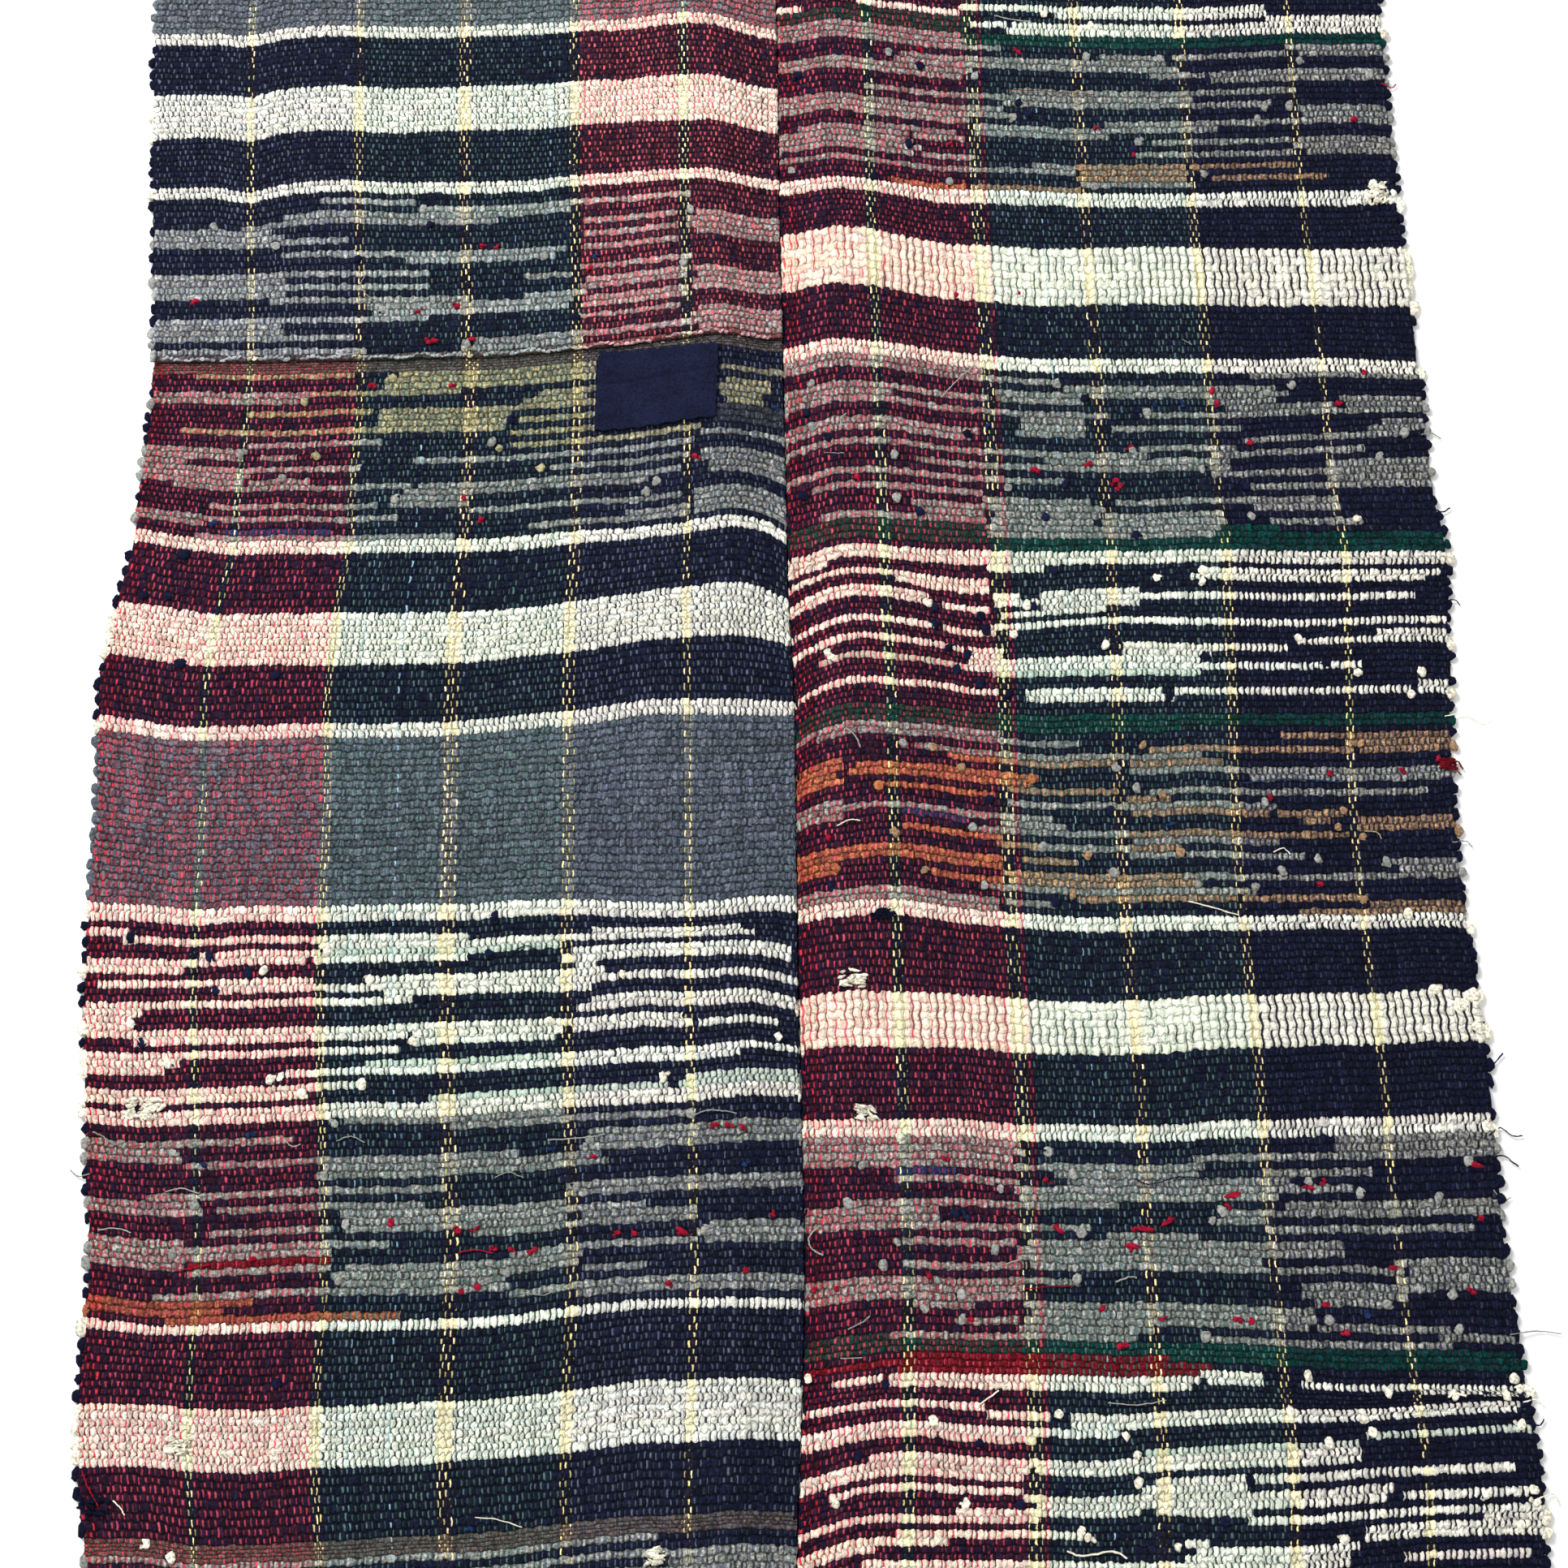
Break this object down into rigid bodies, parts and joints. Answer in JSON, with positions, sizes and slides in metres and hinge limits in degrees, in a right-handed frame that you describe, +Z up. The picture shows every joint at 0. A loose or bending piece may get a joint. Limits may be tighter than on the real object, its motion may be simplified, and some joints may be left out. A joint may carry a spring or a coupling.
{
  "type": "rag weave cloth",
  "caption": "Flat rag weave cloth of two loom strips sewn edge to edge, striped across, with a lap seam and a sewn patch.",
  "frame": {"origin": "centre of the cloth's outline, on the surface it lies on", "axes": "+Y along the strips and the warp, +X across them, +Z up from the surface"},
  "size_m": [0.6728, 0.96, 0.0164],
  "materials": {
    "rag_weave_turned": "matte",
    "rag_weave_left": "matte",
    "rag_weave_right": "matte",
    "navy_cotton": "matte"
  },
  "bodies": {
    "root": {"left_upper_length": "rag_weave_turned", "left_lower_length": "rag_weave_left", "right_strip": "rag_weave_right", "patch": "navy_cotton"}
  },
  "joints": []
}
